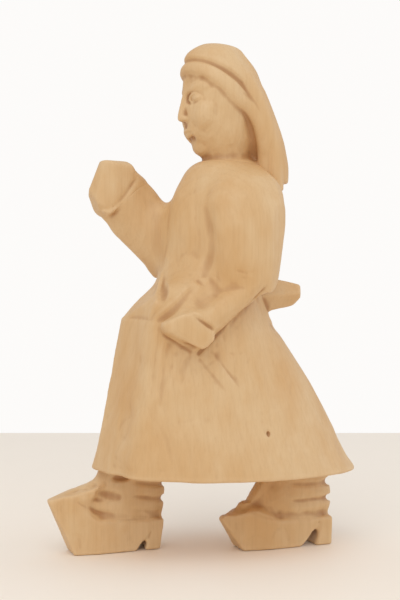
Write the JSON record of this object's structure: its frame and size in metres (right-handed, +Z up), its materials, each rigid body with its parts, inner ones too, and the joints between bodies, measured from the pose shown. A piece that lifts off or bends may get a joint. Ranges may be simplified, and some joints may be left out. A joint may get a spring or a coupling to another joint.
{
  "type": "carved wooden figurine",
  "caption": "Whittled wooden figurine of a striding woman in headscarf, apron and pointed clogs, one fist raised to sow and one hand on her gathered apron.",
  "frame": {"origin": "on the table, under the middle of the figure's bounding box", "axes": "+Z up, the figure walks towards -Y, its left hand is on +X"},
  "size_m": [0.0523, 0.0973, 0.1588],
  "materials": {
    "carved_wood": "bare knife-cut lime or pine, lightly sanded, grain upright",
    "dowel_wood": "plain turned dowel"
  },
  "bodies": {
    "root": {"skirt": "carved_wood", "torso": "carved_wood", "head": "carved_wood", "left_arm": "carved_wood", "right_arm": "carved_wood", "left_hand": "carved_wood", "right_hand": "carved_wood", "apron_bow": "carved_wood", "front_leg": "carved_wood", "rear_leg": "carved_wood", "front_clog": "carved_wood", "rear_clog": "carved_wood", "neck_dowel": "dowel_wood", "waist_dowel": "dowel_wood", "left_shoulder_dowel": "dowel_wood", "right_shoulder_dowel": "dowel_wood", "left_wrist_dowel": "dowel_wood", "right_wrist_dowel": "dowel_wood", "bow_dowel": "dowel_wood", "front_leg_dowel": "dowel_wood", "rear_leg_dowel": "dowel_wood"}
  },
  "joints": []
}
